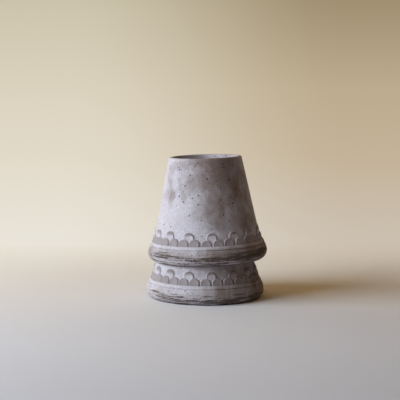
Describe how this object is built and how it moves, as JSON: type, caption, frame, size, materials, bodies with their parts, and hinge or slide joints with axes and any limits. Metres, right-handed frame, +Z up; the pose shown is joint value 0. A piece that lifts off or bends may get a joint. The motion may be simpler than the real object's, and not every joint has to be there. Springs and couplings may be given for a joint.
{
  "type": "stacked clay planter pots",
  "caption": "Thick-walled clay flower pots with scalloped rims, stored upside down and nested one over the other, with a recessed foot and a drain hole.",
  "frame": {"origin": "middle of the stack's box, on the surface that the lower pot's mouth rests on", "axes": "+Z up along the lower pot's axis, -Y towards the camera of the picture, +X to its right, which is the side that the upper pot's rim is pushed to"},
  "size_m": [0.184, 0.1812, 0.2142],
  "materials": {
    "clay_lower": "matt grey wash over rough fired clay, worn to brown on the bead",
    "clay_upper": "matt grey wash over rough fired clay, worn to brown on the bead"
  },
  "bodies": {
    "lower_pot": {"lower_pot": "clay_lower"},
    "upper_pot": {"upper_pot": "clay_upper"}
  },
  "joints": [
    {"name": "upper_lift", "type": "slide", "parent": "lower_pot", "child": "upper_pot", "axis": [0, 0, 1], "range_m": [0, 0.13]}
  ]
}
